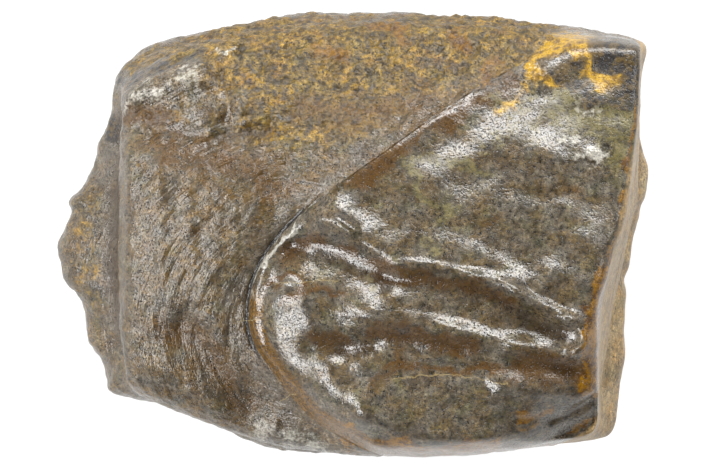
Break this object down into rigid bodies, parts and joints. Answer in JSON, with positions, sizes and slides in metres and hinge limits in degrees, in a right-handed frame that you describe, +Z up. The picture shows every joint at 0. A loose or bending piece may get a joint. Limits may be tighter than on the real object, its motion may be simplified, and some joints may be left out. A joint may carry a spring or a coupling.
{
  "type": "fossil triceratops tooth",
  "caption": "Shed, worn dinosaur tooth: a ridged enamel crown face, a planed wear facet at one end and a rough resorbed root at the other.",
  "frame": {"origin": "on the resting surface, under the middle of the tooth's length and width", "axes": "+X from the resorbed root end to the wear facet, +Y to the far side, +Z up out of the enamelled crown face"},
  "size_m": [0.0234, 0.0176, 0.0132],
  "materials": {
    "fossil": "glossy brown mineralised enamel on the crown face, satin to matt brown dentine elsewhere"
  },
  "bodies": {
    "root": {"triceratops_tooth": "fossil"}
  },
  "joints": []
}
